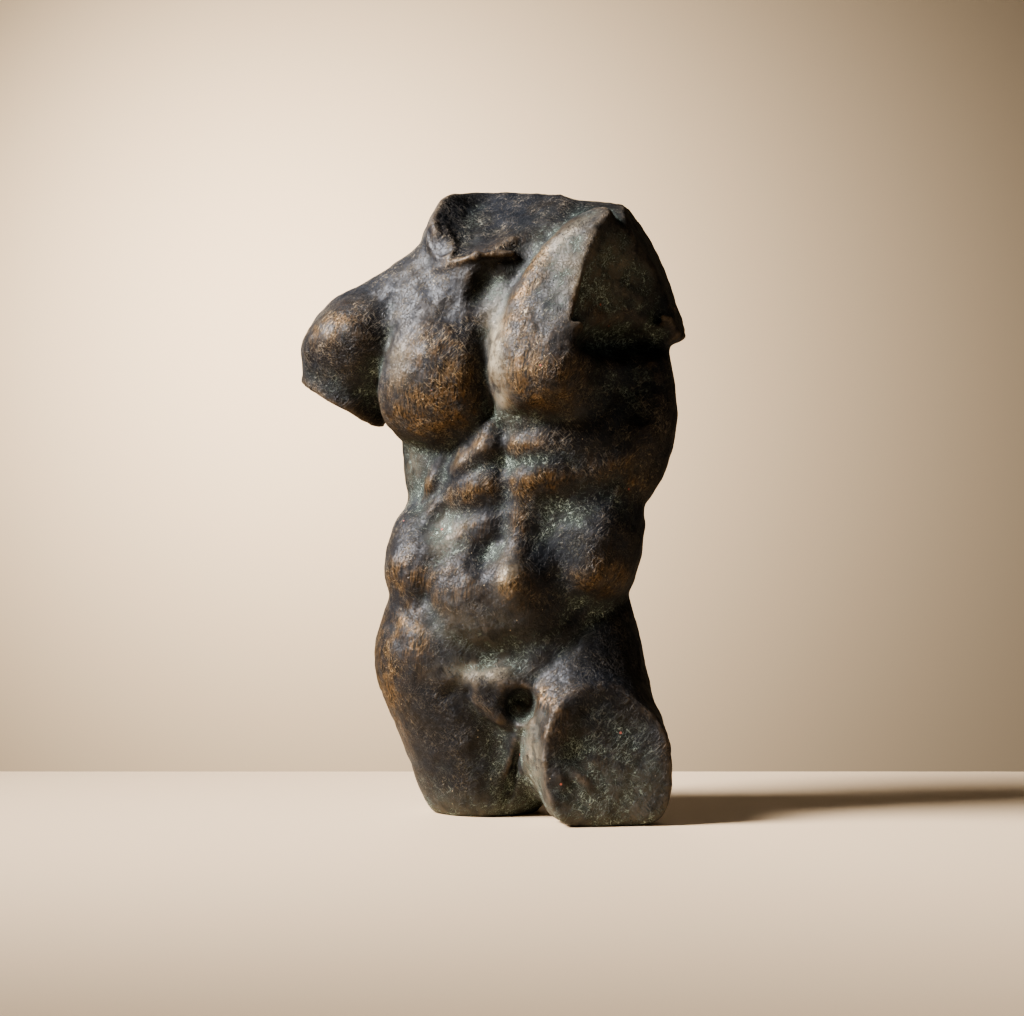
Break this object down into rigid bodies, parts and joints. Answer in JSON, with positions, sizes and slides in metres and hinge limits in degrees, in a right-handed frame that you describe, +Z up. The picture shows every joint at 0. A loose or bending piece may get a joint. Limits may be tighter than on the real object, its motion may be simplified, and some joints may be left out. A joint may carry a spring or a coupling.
{
  "type": "terracotta torso sculpture",
  "caption": "Male torso sculpture in the classical manner with broken neck, arms and thighs, in dark patinated terracotta, standing on its thigh stumps.",
  "frame": {"origin": "middle of the bounding box, at the ground under the two thigh stumps", "axes": "+Z up along the body, the front looks along -Y, the figure's left side is at +X"},
  "size_m": [0.382, 0.2384, 0.619],
  "materials": {
    "patinated_terracotta": "satin, waxed dark bronze-coloured patina with copper-brown rubbed high places and grey-green hollows"
  },
  "bodies": {
    "root": {"torso": "patinated_terracotta"}
  },
  "joints": []
}
